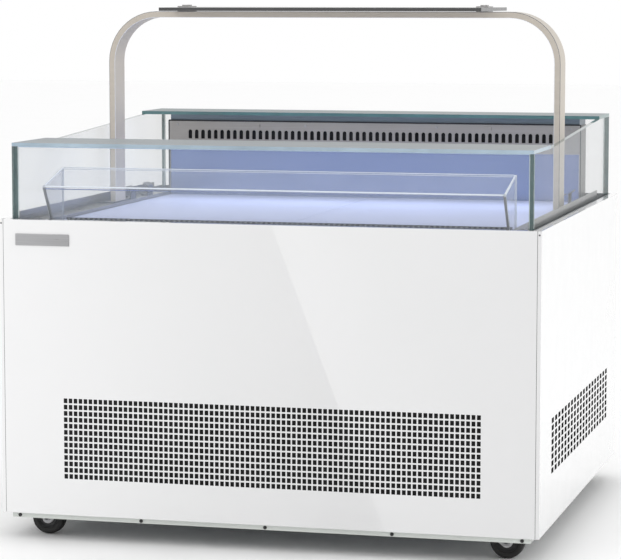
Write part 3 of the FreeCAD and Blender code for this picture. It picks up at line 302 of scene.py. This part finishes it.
PLENUM = plenum_look()
FRONT_PANE = clear_pane("front_glass", Y, (0.72, 0.80, 0.86), 0.08, TEAL, 0.9)
SIDE_PANE = clear_pane("side_glass", X, (0.46, 0.50, 0.52), 0.17, (0.06, 0.13, 0.125), 0.9)
REAR_PANE = clear_pane("rear_glass", Y, (0.60, 0.63, 0.65), 0.10, TEAL, 0.85)
LEDGE_PANE = clear_pane("ledge_glass", Z, (0.62, 0.66, 0.69), 0.20, (0.40, 0.52, 0.62), 0.85,
                        (0.34, 0.36, 0.37), 0.92)
COVER_PANE = clear_pane("cover_glass", Z, (0.40, 0.43, 0.44), 0.35, (0.10, 0.22, 0.22), 0.95,
                        (0.34, 0.37, 0.38), 0.98)
SHELF_PANE = clear_pane("shelf_glass", Z, (0.30, 0.30, 0.30), 0.45, (0.07, 0.07, 0.07), 0.95,
                        (0.62, 0.62, 0.62), 0.85)
ACRYLIC = clear_pane("clear_acrylic", X, (0.50, 0.56, 0.70), 0.22, (0.74, 0.80, 0.96), 0.12)

# Nodes whose look differs from that of their material slot.
OWN = {"arch": ARCH, "arch_brackets": CLIP, "plenum_housing": PLENUM, "product_guard": ACRYLIC,
       "front_glass": FRONT_PANE, "left_side_glass": SIDE_PANE, "right_side_glass": SIDE_PANE,
       "rear_glass": REAR_PANE, "ledge_glass": LEDGE_PANE, "rear_top_glass": COVER_PANE,
       "overhead_shelf": SHELF_PANE, "front_panel": FRONT_SKIN, "rear_panel": FRONT_SKIN,
       "left_side_panel": SIDE_SKIN, "right_side_panel": SIDE_SKIN,
       "panel_screws": MATERIALS["black_steel"]}

for entry in frame["record"]["subparts"]:
    node, slot_name = entry["node"], entry["material_slot"]
    chosen = OWN.get(node) or MATERIALS[slot_name]
    for held in NODES[node].material_slots:
        held.material = chosen.material


# ---------------------------------------------------------------- pieces

def piece(name, data, surface, body):
    """Links a finished mesh or curve as a named piece that rides on a body."""
    thing = bpy.data.objects.new(name, data)
    SCENE.collection.objects.link(thing)
    data.materials.append(surface.material)
    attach(thing, body)
    return thing


def from_bmesh(name, shape):
    bmesh.ops.recalc_face_normals(shape, faces=shape.faces)
    mesh = bpy.data.meshes.new(name)
    shape.to_mesh(mesh)
    shape.free()
    return mesh


def add_block(shape, low, high, bevel=0.0):
    """A box between two corners, with its edges eased."""
    low, high = Vector(low), Vector(high)
    size = high - low
    made = bmesh.ops.create_cube(shape, size=1.0, matrix=Matrix.LocRotScale(
        (low + high) / 2, None, size))
    if bevel:
        edges = {e for v in made["verts"] for e in v.link_edges}
        bmesh.ops.bevel(shape, geom=list(edges), offset=bevel, segments=2, affect="EDGES",
                        profile=0.5, clamp_overlap=True)


def add_disc(shape, centre, radius, deep, axis, segments=24, dome=0.0):
    """A short round head along an axis; a dome eases its rim."""
    turn = {X: Matrix.Rotation(math.pi / 2, 4, "Y"), Y: Matrix.Rotation(math.pi / 2, 4, "X"),
            Z: Matrix.Identity(4)}[axis]
    made = bmesh.ops.create_cone(shape, cap_ends=True, segments=segments, radius1=radius,
                                 radius2=radius, depth=deep,
                                 matrix=Matrix.Translation(centre) @ turn)
    if dome:
        edges = [e for v in made["verts"] for e in v.link_edges if len(e.link_faces) == 2
                 and any(len(f.verts) > 4 for f in e.link_faces)]
        bmesh.ops.bevel(shape, geom=list(set(edges)), offset=dome, segments=3, affect="EDGES",
                        profile=0.5, clamp_overlap=True)


def lathe(name, section, segments=72):
    """Turns a section of (radius, along) points about the local Y axis."""
    shape = bmesh.new()
    rings = []
    for i in range(segments):
        a = 2 * math.pi * i / segments
        rings.append([shape.verts.new((r * math.cos(a), along, r * math.sin(a)))
                      for r, along in section])
    for i in range(segments):
        here, there = rings[i], rings[(i + 1) % segments]
        for j in range(len(section)):
            k = (j + 1) % len(section)
            shape.faces.new((here[j], here[k], there[k], there[j]))
    return from_bmesh(name, shape)


def smooth_by_angle(thing, degrees):
    """Shades a piece smooth, apart from edges that are sharper than the angle."""
    for polygon in thing.data.polygons:
        polygon.use_smooth = True
    split = thing.modifiers.new("split", "EDGE_SPLIT")
    split.split_angle = math.radians(degrees)


def blocks(name, corners, surface, bevel=0.0004):
    """One piece of boxes between pairs of corners, fixed to the cabinet."""
    shape = bmesh.new()
    for low, high in corners:
        add_block(shape, low, high, bevel)
    return piece(name, from_bmesh(name, shape), surface, "cabinet")


def heads(name, centres, radius, deep, axis, slot_name):
    """Round screw heads with an eased rim, fixed to the cabinet."""
    shape = bmesh.new()
    for centre in centres:
        add_disc(shape, centre, radius, deep, axis, dome=deep * 0.4)
    return piece(name, from_bmesh(name, shape), MATERIALS[slot_name], "cabinet")


def rod(name, points, radius, surface, body="cabinet", cyclic=False):
    """A thin round line through points."""
    curve = bpy.data.curves.new(name, "CURVE")
    curve.dimensions = "3D"
    curve.bevel_depth = radius
    curve.bevel_resolution = 2
    spline = curve.splines.new("POLY")
    spline.points.add(len(points) - 1)
    for held, point in zip(spline.points, points):
        held.co = (*point, 1.0)
    spline.use_cyclic_u = cyclic
    return piece(name, curve, surface, body)


# ---------------------------------------------------------------- casters

HUB = painted("caster_hub", (0.60, 0.60, 0.61), (0.50, 0.50, 0.51), 0.35)


def both_faces(half):
    """A wheel section of (radius, along) points, completed by its mirror image."""
    return half + [(radius, -along) for radius, along in reversed(half)]


TYRE_SECTION = both_faces([(0.0230, -0.0100), (0.0240, -0.0140), (0.0275, -0.0156),
                           (0.0330, -0.0156), (0.0362, -0.0135), (0.0376, -0.0085),
                           (0.0379, -0.0030)])
RIM_SECTION = both_faces([(0.0132, -0.0110), (0.0160, -0.0104), (0.0205, -0.0108),
                          (0.0222, -0.0132), (0.0233, -0.0132)])
HUB_SECTION = both_faces([(0.0043, -0.0166), (0.0120, -0.0166), (0.0128, -0.0158),
                          (0.0133, -0.0112)])
NUT_RADIUS, NUT_DEEP = 0.0072, 0.0024
HEXAGON = 6

for corner in ("front_left", "front_right", "rear_left", "rear_right"):
    wheel, fork = "caster_wheel_" + corner, "caster_fork_" + corner
    low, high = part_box(wheel)
    middle = (low + high) / 2
    for part_name, section, surface in (("tyre_", TYRE_SECTION, MATERIALS["tyre_rubber"]),
                                        ("rim_", RIM_SECTION, MATERIALS["black_plastic"]),
                                        ("hub_", HUB_SECTION, HUB)):
        mesh = lathe(part_name + corner, section)
        mesh.transform(Matrix.Translation(middle))
        thing = piece(part_name + corner, mesh, surface, wheel)
        smooth_by_angle(thing, 50)
        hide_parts(wheel)
    nuts = bmesh.new()
    fork_low, fork_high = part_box(fork)
    for face_y, sense in ((fork_low.y, 1), (fork_high.y, -1)):
        add_disc(nuts, (middle.x, face_y + sense * NUT_DEEP / 2, middle.z), NUT_RADIUS, NUT_DEEP,
                 Y, segments=HEXAGON)
    piece("axle_nuts_" + corner, from_bmesh("axle_nuts_" + corner, nuts), MATERIALS["zinc"], fork)


# ---------------------------------------------------------------- badge and panel trim

low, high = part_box("badge_plate")
plate = bmesh.new()
add_block(plate, low, high, 0.0009)
badge = piece("blank_badge", from_bmesh("blank_badge", plate),
              brushed("badge_steel", (0.46, 0.46, 0.47), (0.34, 0.34, 0.35), 0.30, (6, 500, 500),
                      metallic=0.6),
              "cabinet")
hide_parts("badge_plate")

panel_low, panel_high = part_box("front_panel")
HALF_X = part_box("right_side_panel")[1].x
FRONT_Y, REAR_Y = panel_low.y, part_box("rear_panel")[1].y
PANEL_FOOT, PANEL_HEAD = panel_low.z, panel_high.z

edge_x, edge_y = HALF_X - 0.0008, REAR_Y - 0.0008
rod("right_rear_edge", [(edge_x, edge_y, PANEL_FOOT + 0.0012),
                        (edge_x, edge_y, PANEL_HEAD - 0.0012)], 0.0007,
    painted("edge_shade", (0.36, 0.36, 0.37), (0.30, 0.30, 0.31), 0.4))

# Dark seam strips set back behind the joints of the four skins.
SEAM_OUTER, SEAM_INNER = HALF_X - 0.0075, HALF_X - 0.0095
SEAM_FOOT, SEAM_HEAD = PANEL_FOOT + 0.001, PANEL_HEAD - 0.001
SEAM_FROM, SEAM_TO = 0.0009, 0.0014
seams = []
for sense, side in SIDES:
    x_low, x_high = sorted((sense * SEAM_INNER, sense * SEAM_OUTER))
    for y_low, y_high in ((FRONT_Y + SEAM_FROM, FRONT_Y + SEAM_TO),
                          (REAR_Y - SEAM_TO, REAR_Y - SEAM_FROM)):
        seams.append(((x_low, y_low, SEAM_FOOT), (x_high, y_high, SEAM_HEAD)))
blocks("panel_seams", seams, MATERIALS["black_plastic"], bevel=0)

REAR_SCREWS_X = (-0.588, -0.2, 0.2, 0.588)
REAR_SCREWS_Z = (0.085, 0.40, 0.705)
heads("rear_panel_screws", [(x, REAR_Y + 0.0006, z) for x in REAR_SCREWS_X for z in REAR_SCREWS_Z],
      0.0042, 0.0013, Y, "zinc")
heads("corner_screws", [(sense * (HALF_X - 0.0042), FRONT_Y - 0.0004, 0.7125)
                        for sense, side in SIDES], 0.0018, 0.0008, Y, "black_steel")

# Dust filters close behind the four perforated vents.
FILTER = painted("filter_foam", (0.012, 0.012, 0.013), (0.006, 0.006, 0.006), 0.95, grain=600.0)
SIDE_FILTER_X, SIDE_FILTER_HALF = HALF_X - 0.0030, 0.425
blocks("front_dust_filter", [((-0.500, FRONT_Y + 0.0025, 0.128), (0.515, FRONT_Y + 0.0065, 0.340))],
       FILTER)
blocks("rear_dust_filter", [((-0.485, REAR_Y - 0.0065, 0.142), (0.485, REAR_Y - 0.0030, 0.378))],
       FILTER)
side_filters = []
for sense, side in SIDES:
    x_low, x_high = sorted((sense * SIDE_FILTER_X, sense * (SIDE_FILTER_X - 0.004)))
    side_filters.append(((x_low, -SIDE_FILTER_HALF, 0.160), (x_high, SIDE_FILTER_HALF, 0.315)))
blocks("side_dust_filters", side_filters, FILTER)


# ---------------------------------------------------------------- glazing details

GASKET = painted("glazing_gasket", (0.16, 0.17, 0.18), (0.11, 0.12, 0.13), 0.55)
SILICONE = painted("clear_silicone", (0.52, 0.58, 0.58), (0.44, 0.50, 0.50), 0.30)
glass_low, glass_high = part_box("front_glass")
back_low, back_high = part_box("rear_glass")
ledge_low, ledge_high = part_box("ledge_glass")
cover_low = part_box("rear_top_glass")[0]
GLASS_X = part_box("right_side_glass")[1].x
GLASS_FRONT, GLASS_REAR = glass_low.y, back_high.y

# The gasket stands round the panes, a hair clear of them.
GASKET_FOOT, GASKET_HEAD = 0.712, 0.7206
GASKET_OUT, GASKET_CLEAR = 0.0018, 0.0002
out_x, near_x = GLASS_X + GASKET_OUT, GLASS_X + GASKET_CLEAR
front_out, front_near = GLASS_FRONT - GASKET_OUT, GLASS_FRONT - GASKET_CLEAR
rear_out, rear_near = GLASS_REAR + GASKET_OUT, GLASS_REAR + GASKET_CLEAR
blocks("glazing_gasket", [
    ((-out_x, front_out, GASKET_FOOT), (out_x, front_near, GASKET_HEAD)),
    ((-out_x, rear_near, GASKET_FOOT), (out_x, rear_out, GASKET_HEAD)),
    ((-out_x, front_near, GASKET_FOOT), (-near_x, rear_near, GASKET_HEAD)),
    ((near_x, front_near, GASKET_FOOT), (out_x, rear_near, GASKET_HEAD))],
    GASKET, bevel=0.0003)

# Silicone in the corners between the panes and under the ledge plate.
BEAD, BEAD_FOOT = 0.0018, 0.722
PANE_INNER = GLASS_X - 0.0102
beads = []
for sense, side in SIDES:
    x_low, x_high = sorted((sense * PANE_INNER, sense * (PANE_INNER - BEAD)))
    beads.append(((x_low, glass_high.y, BEAD_FOOT), (x_high, glass_high.y + BEAD, ledge_low.z)))
    beads.append(((x_low, back_low.y - BEAD, BEAD_FOOT), (x_high, back_low.y, cover_low.z)))
    beads.append(((x_low, GLASS_FRONT + 0.012, ledge_low.z - 0.0014),
                  (x_high, ledge_high.y, ledge_low.z)))
blocks("silicone_beads", beads, SILICONE, bevel=0.0003)

# The green seen through the front pane where the side panes meet it.
TINT = painted("green_glass_edge", TEAL, (0.014, 0.095, 0.088), 0.12)
BEHIND_FRONT_PANE = GLASS_FRONT + 0.0102
TINT_OUTER, TINT_INNER = GLASS_X - 0.0003, GLASS_X - 0.0097
blocks("corner_tint", [((x_low, BEHIND_FRONT_PANE, 0.7215),
                        (x_high, BEHIND_FRONT_PANE + 0.001, ledge_low.z - 0.0003))
                       for x_low, x_high in ((-TINT_OUTER, -TINT_INNER),
                                             (TINT_INNER, TINT_OUTER))], TINT)

# Painted highlight: a bright line where the ledge plate meets the front pane.
EDGE_LIGHT = painted("painted_ledge_highlight", (0.62, 0.78, 0.98), (0.50, 0.68, 0.92), 0.12)
line_x = GLASS_X - 0.011
blocks("ledge_light_line", [((-line_x, BEHIND_FRONT_PANE, ledge_low.z - 0.0022),
                             (line_x, BEHIND_FRONT_PANE + 0.0016, ledge_low.z - 0.0004))],
       EDGE_LIGHT)


# ---------------------------------------------------------------- product guard edges

# Painted highlights: near white lines along the edges and folds of the clear guard and along the
# inner arris of the arch.
HIGHLIGHT = painted("painted_edge_highlight", (0.92, 0.95, 1.0), (0.80, 0.86, 0.98), 0.10)
guard_low, guard_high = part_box("product_guard")
GUARD_SHEET = 0.005
RIM = 0.0011
FOOT_Y, FOOT_Z = -0.464, guard_low.z
KINK_Y, KINK_Z = guard_low.y, 0.792
BACK_Y, BROW_Z = guard_high.y, guard_high.z


def guard_rod(name, points, radius, surface, cyclic=False):
    rod(name, points, radius, surface, "product_guard", cyclic)


# Painted highlights round the cheeks of the guard.
for sense, side in SIDES:
    for inset, tag in ((RIM, "outer"), (GUARD_SHEET - RIM, "inner")):
        x = sense * (guard_high.x - inset)
        guard_rod("guard_cheek_%s_%s" % (side, tag),
                  [(x, FOOT_Y + 0.0008, FOOT_Z + RIM), (x, KINK_Y + RIM, KINK_Z),
                   (x, BACK_Y - RIM, BROW_Z - RIM), (x, BACK_Y - RIM, FOOT_Z + RIM)],
                  RIM * 0.8, HIGHLIGHT, cyclic=True)

GREY_EDGE = painted("frosted_edge", (0.22, 0.22, 0.235), (0.15, 0.15, 0.16), 0.35)
# Painted shade: a dark blue line under the kink of the guard.
KINK_SHADE = painted("painted_kink_shade", (0.16, 0.20, 0.40), (0.10, 0.14, 0.32), 0.15)
# Grey legs, and brows of painted highlight.
for sense, side in SIDES:
    x = sense * (guard_high.x - 0.0036)
    guard_rod("guard_leg_" + side, [(x, FOOT_Y + 0.0024, FOOT_Z + 0.0036),
                                    (x, KINK_Y + 0.0024, KINK_Z - 0.002)], 0.0034, GREY_EDGE)
    guard_rod("guard_brow_" + side, [(x, KINK_Y + 0.003, KINK_Z + 0.0005),
                                     (x, BACK_Y - 0.003, BROW_Z - 0.0028)], 0.0024, HIGHLIGHT)

# Lines from cheek to cheek along the folds and edges of the sheet: painted highlights, and one line
# of painted shade under the kink.
half = guard_high.x - 0.006
for name, y, z, radius, surface in (
        ("guard_kink_shade", KINK_Y + 0.0030, KINK_Z - 0.0052, RIM, KINK_SHADE),
        ("guard_top_line", BACK_Y - RIM, BROW_Z - 0.0012, RIM, HIGHLIGHT),
        ("guard_under_line", BACK_Y - RIM, BROW_Z - 0.0048, RIM * 0.7, HIGHLIGHT),
        ("guard_kink_line", KINK_Y + 0.0024, KINK_Z, RIM * 1.7, HIGHLIGHT),
        ("guard_foot_line", FOOT_Y + 0.002, FOOT_Z + RIM, RIM, HIGHLIGHT)):
    guard_rod(name, [(-half, y, z), (half, y, z)], radius, surface)


# ---------------------------------------------------------------- rails, plenum and shelf details

RAIL_TOP = 0.715
FOOT_SHEET = 0.003
heads("rail_screws", [(sense * 0.5505, y, RAIL_TOP + 0.0008) for sense, side in SIDES
                      for y in (-0.46, -0.2, 0.27, 0.40)], 0.0042, 0.0018, Z, "zinc")
heads("arch_foot_screws", [(sense * 0.550, y, RAIL_TOP + FOOT_SHEET + 0.0008)
                           for sense, side in SIDES for y in (0.010, 0.108)],
      0.0045, 0.0020, Z, "zinc")

# The dark toothed lip of the return-air grille.
LIP_HALF, LIP_FACE = 0.515, -0.3845
TOOTH_HALF, TOOTH_PITCH, TEETH, FIRST_TOOTH = 0.0028, 0.012, 86, -0.51
blocks("return_lip", [((-LIP_HALF, LIP_FACE, 0.7071), (LIP_HALF, LIP_FACE + 0.0017, 0.7128))],
       painted("lip_shadow", (0.020, 0.021, 0.023), (0.012, 0.013, 0.014), 0.6),
       bevel=0)
teeth = [((x - TOOTH_HALF, LIP_FACE - 0.0005, 0.7082), (x + TOOTH_HALF, LIP_FACE + 0.0001, 0.7120))
         for x in (FIRST_TOOTH + TOOTH_PITCH * i for i in range(TEETH))]
blocks("return_lip_teeth", teeth, MATERIALS["stainless"], bevel=0)

# Screws round the face of the plenum, and painted shadow: a dark strip along its top edge and a
# dark strip at each end.
PLENUM_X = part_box("plenum_housing")[1].x
heads("plenum_screws", [(x, PLENUM_FACE - 0.0006, PLENUM_TOP - 0.0085)
                        for x in (-0.51, -0.17, 0.17, 0.51)], 0.0032, 0.0014, Y, "zinc")
SHADOW = painted("plenum_gap_shadow", (0.030, 0.031, 0.034), (0.020, 0.021, 0.024), 0.6)
blocks("plenum_top_shadow_strip", [((-PLENUM_X, PLENUM_FACE - 0.0038, PLENUM_TOP + 0.0002),
                              (PLENUM_X, PLENUM_FACE + 0.0012, PLENUM_TOP + 0.0035))],
       SHADOW)
end_shadows = []
for sense, side in SIDES:
    x_low, x_high = sorted((sense * (PLENUM_X + 0.0002), sense * (PLENUM_X + 0.0026)))
    end_shadows.append(((x_low, PLENUM_FACE - 0.0015, 0.712),
                  (x_high, PLENUM_FACE + 0.0030, PLENUM_TOP + 0.0025)))
blocks("plenum_end_shadows", end_shadows, SHADOW)

arch_low, arch_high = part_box("arch")
ARCH_BEND, ARCH_THICK = 0.120, 0.014
BEND_STEPS = 12


def hoop_line(name, inset, radius, surface):
    """A fine line that follows one long edge of the arch."""
    reach, bend, crown = arch_high.x - inset, ARCH_BEND - inset, arch_high.z - inset
    foot, y = arch_low.z + 0.0005, arch_low.y + 0.0004
    points = [(-reach, y, foot)]
    for side, first in ((-1, math.pi), (1, math.pi / 2)):
        for i in range(BEND_STEPS + 1):
            a = first - i * math.pi / 2 / BEND_STEPS
            points.append((side * (reach - bend) + bend * math.cos(a), y,
                           crown - bend + bend * math.sin(a)))
    points.append((reach, y, foot))
    rod(name, points, radius, surface)


hoop_line("arch_front_arris", 0.0003, 0.0006, CLIP)
# The inner arris line is a painted highlight.
hoop_line("arch_inner_arris", ARCH_THICK - 0.0003, 0.0005, HIGHLIGHT)

# A divided louvre core behind the plenum's slots: a back plate, and a rib between slots.
LOUVRE = painted("louvre_core", (0.006, 0.006, 0.007), (0.003, 0.003, 0.003), 0.8)
SLOTS, SLOT_PITCH, RIB_HALF = 57, 0.017, 0.0008
CORE_FACE = PLENUM_FACE + 0.0045
cells = [((-0.525, CORE_FACE, 0.838), (0.525, CORE_FACE + 0.003, 0.886))]
for i in range(SLOTS + 1):
    x = (i - SLOTS / 2) * SLOT_PITCH
    cells.append(((x - RIB_HALF, PLENUM_FACE + 0.0025, 0.840),
                  (x + RIB_HALF, PLENUM_FACE + 0.0046, 0.884)))
blocks("plenum_louvre_core", cells, LOUVRE, bevel=0)

# Caps on the studs near each end of the overhead shelf.
STUD_X, STUD_Y = 0.364, (0.039, 0.079)
shelf_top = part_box("overhead_shelf")[1].z
heads("shelf_caps", [(sense * STUD_X, y, shelf_top + 0.0048) for sense, side in SIDES
                     for y in STUD_Y], 0.0034, 0.0022, Z, "black_plastic")

# Controls on the operator's side.
CONTROL_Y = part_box("control_panel")[1].y
DISPLAY = painted("display_window", (0.010, 0.012, 0.016), (0.006, 0.008, 0.010), 0.08, coat=1.0)
blocks("controller_window", [((-0.414, CONTROL_Y, 0.608), (-0.372, CONTROL_Y + 0.0008, 0.632))],
       DISPLAY)
heads("control_screws", [(x, CONTROL_Y + 0.0004, z) for x in (-0.488, -0.339)
                         for z in (0.6035, 0.6365)], 0.0028, 0.0010, Y, "zinc")


# ---------------------------------------------------------------- studio

def stage_plane(name, corners, surface):
    mesh = bpy.data.meshes.new(name)
    mesh.from_pydata(corners, [], [tuple(range(len(corners)))])
    thing = bpy.data.objects.new(name, mesh)
    SCENE.collection.objects.link(thing)
    mesh.materials.append(surface.material)
    return thing


FLOOR_HALF = 30
FLOOR = painted("studio_floor", (0.985, 0.985, 0.985), (0.975, 0.975, 0.975), 0.8, grain=40.0)
stage_plane("studio_floor", [(-FLOOR_HALF, -FLOOR_HALF, 0), (FLOOR_HALF, -FLOOR_HALF, 0),
                             (FLOOR_HALF, FLOOR_HALF, 0), (-FLOOR_HALF, FLOOR_HALF, 0)], FLOOR)

# Two cards in front of the cabinet, with a slanted line between them. They show only as soft
# reflections in the gloss of the front panel.
CARD_Y, CARD_FOOT, CARD_HEAD, CARD_END = -0.8, 0.003, 0.700, 0.75
SPLIT_FOOT, SPLIT_HEAD = 0.218, -0.049


def card(name, corners, dark_x, light_x, dark, light):
    """A glowing card whose tone runs from one brightness to another along X."""
    surface = Surface(name)
    ramp = surface.remap(surface.part(surface.place, X), 0.0, 1.0, light_x, dark_x)
    surface.put("Base Color", (0.0, 0.0, 0.0, 1.0))
    surface.put("Specular IOR Level", 0.0)
    surface.put("Emission Color", surface.blend(ramp, (light,) * 3, (dark,) * 3))
    surface.put("Emission Strength", 1.0)
    thing = stage_plane(name, [(x, CARD_Y, z) for x, z in corners], surface)
    thing.visible_camera = False
    thing.visible_diffuse = False
    thing.visible_shadow = False
    thing.visible_transmission = False


card("left_flag", [(-CARD_END, CARD_FOOT), (SPLIT_FOOT, CARD_FOOT), (SPLIT_HEAD, CARD_HEAD),
                   (-CARD_END, CARD_HEAD)], 0.13, -0.72, 0.0, 1.0)
card("right_flag", [(SPLIT_FOOT, CARD_FOOT), (CARD_END, CARD_FOOT), (CARD_END, CARD_HEAD),
                    (SPLIT_HEAD, CARD_HEAD)], 0.57, -0.04, 0.10, 0.62)


def area_light(name, place, target, size, power, colour=(1, 1, 1), glossy=True):
    data = bpy.data.lights.new(name, "AREA")
    data.shape = "RECTANGLE"
    data.size, data.size_y = size
    data.energy = power
    data.color = colour
    lamp = bpy.data.objects.new(name, data)
    SCENE.collection.objects.link(lamp)
    lamp.location = place
    lamp.rotation_euler = (Vector(target) - Vector(place)).to_track_quat("-Z", "Y").to_euler()
    lamp.visible_camera = False
    lamp.visible_glossy = glossy


area_light("key_softbox", (-2.6, -4.2, 3.4), (0, 0, 0.6), (3.0, 2.4), 22)
area_light("right_softbox", (4.2, -1.2, 2.2), (0.5, 0, 0.5), (2.4, 2.4), 30)
area_light("display_light", (0.0, 0.30, 0.905), (0.0, -0.05, 0.70), (1.0, 0.12), 1.5,
           (0.72, 0.80, 1.0), glossy=False)

world = bpy.data.worlds.new("studio")
world.use_nodes = True
world.node_tree.nodes["Background"].inputs["Color"].default_value = (1.0, 1.0, 1.0, 1.0)
world.node_tree.nodes["Background"].inputs["Strength"].default_value = 1.0
SCENE.world = world
SCENE.view_settings.view_transform = "Standard"

# The camera stands to the right of the front, a little above the arch, and looks slightly down.
YAW, PITCH = 0.257, 0.107
camera_data = bpy.data.cameras.new("camera")
camera_data.sensor_fit = "HORIZONTAL"
camera_data.sensor_width = 36.0
camera_data.lens = 153.67
camera_data.clip_end = 100.0
camera_data.dof.use_dof = False
camera = bpy.data.objects.new("camera", camera_data)
SCENE.collection.objects.link(camera)
camera.location = (1.5537, -6.0691, 1.2161)
camera.rotation_euler = (math.pi / 2 - PITCH, 0.0, YAW)
SCENE.camera = camera

bpy.context.view_layer.update()
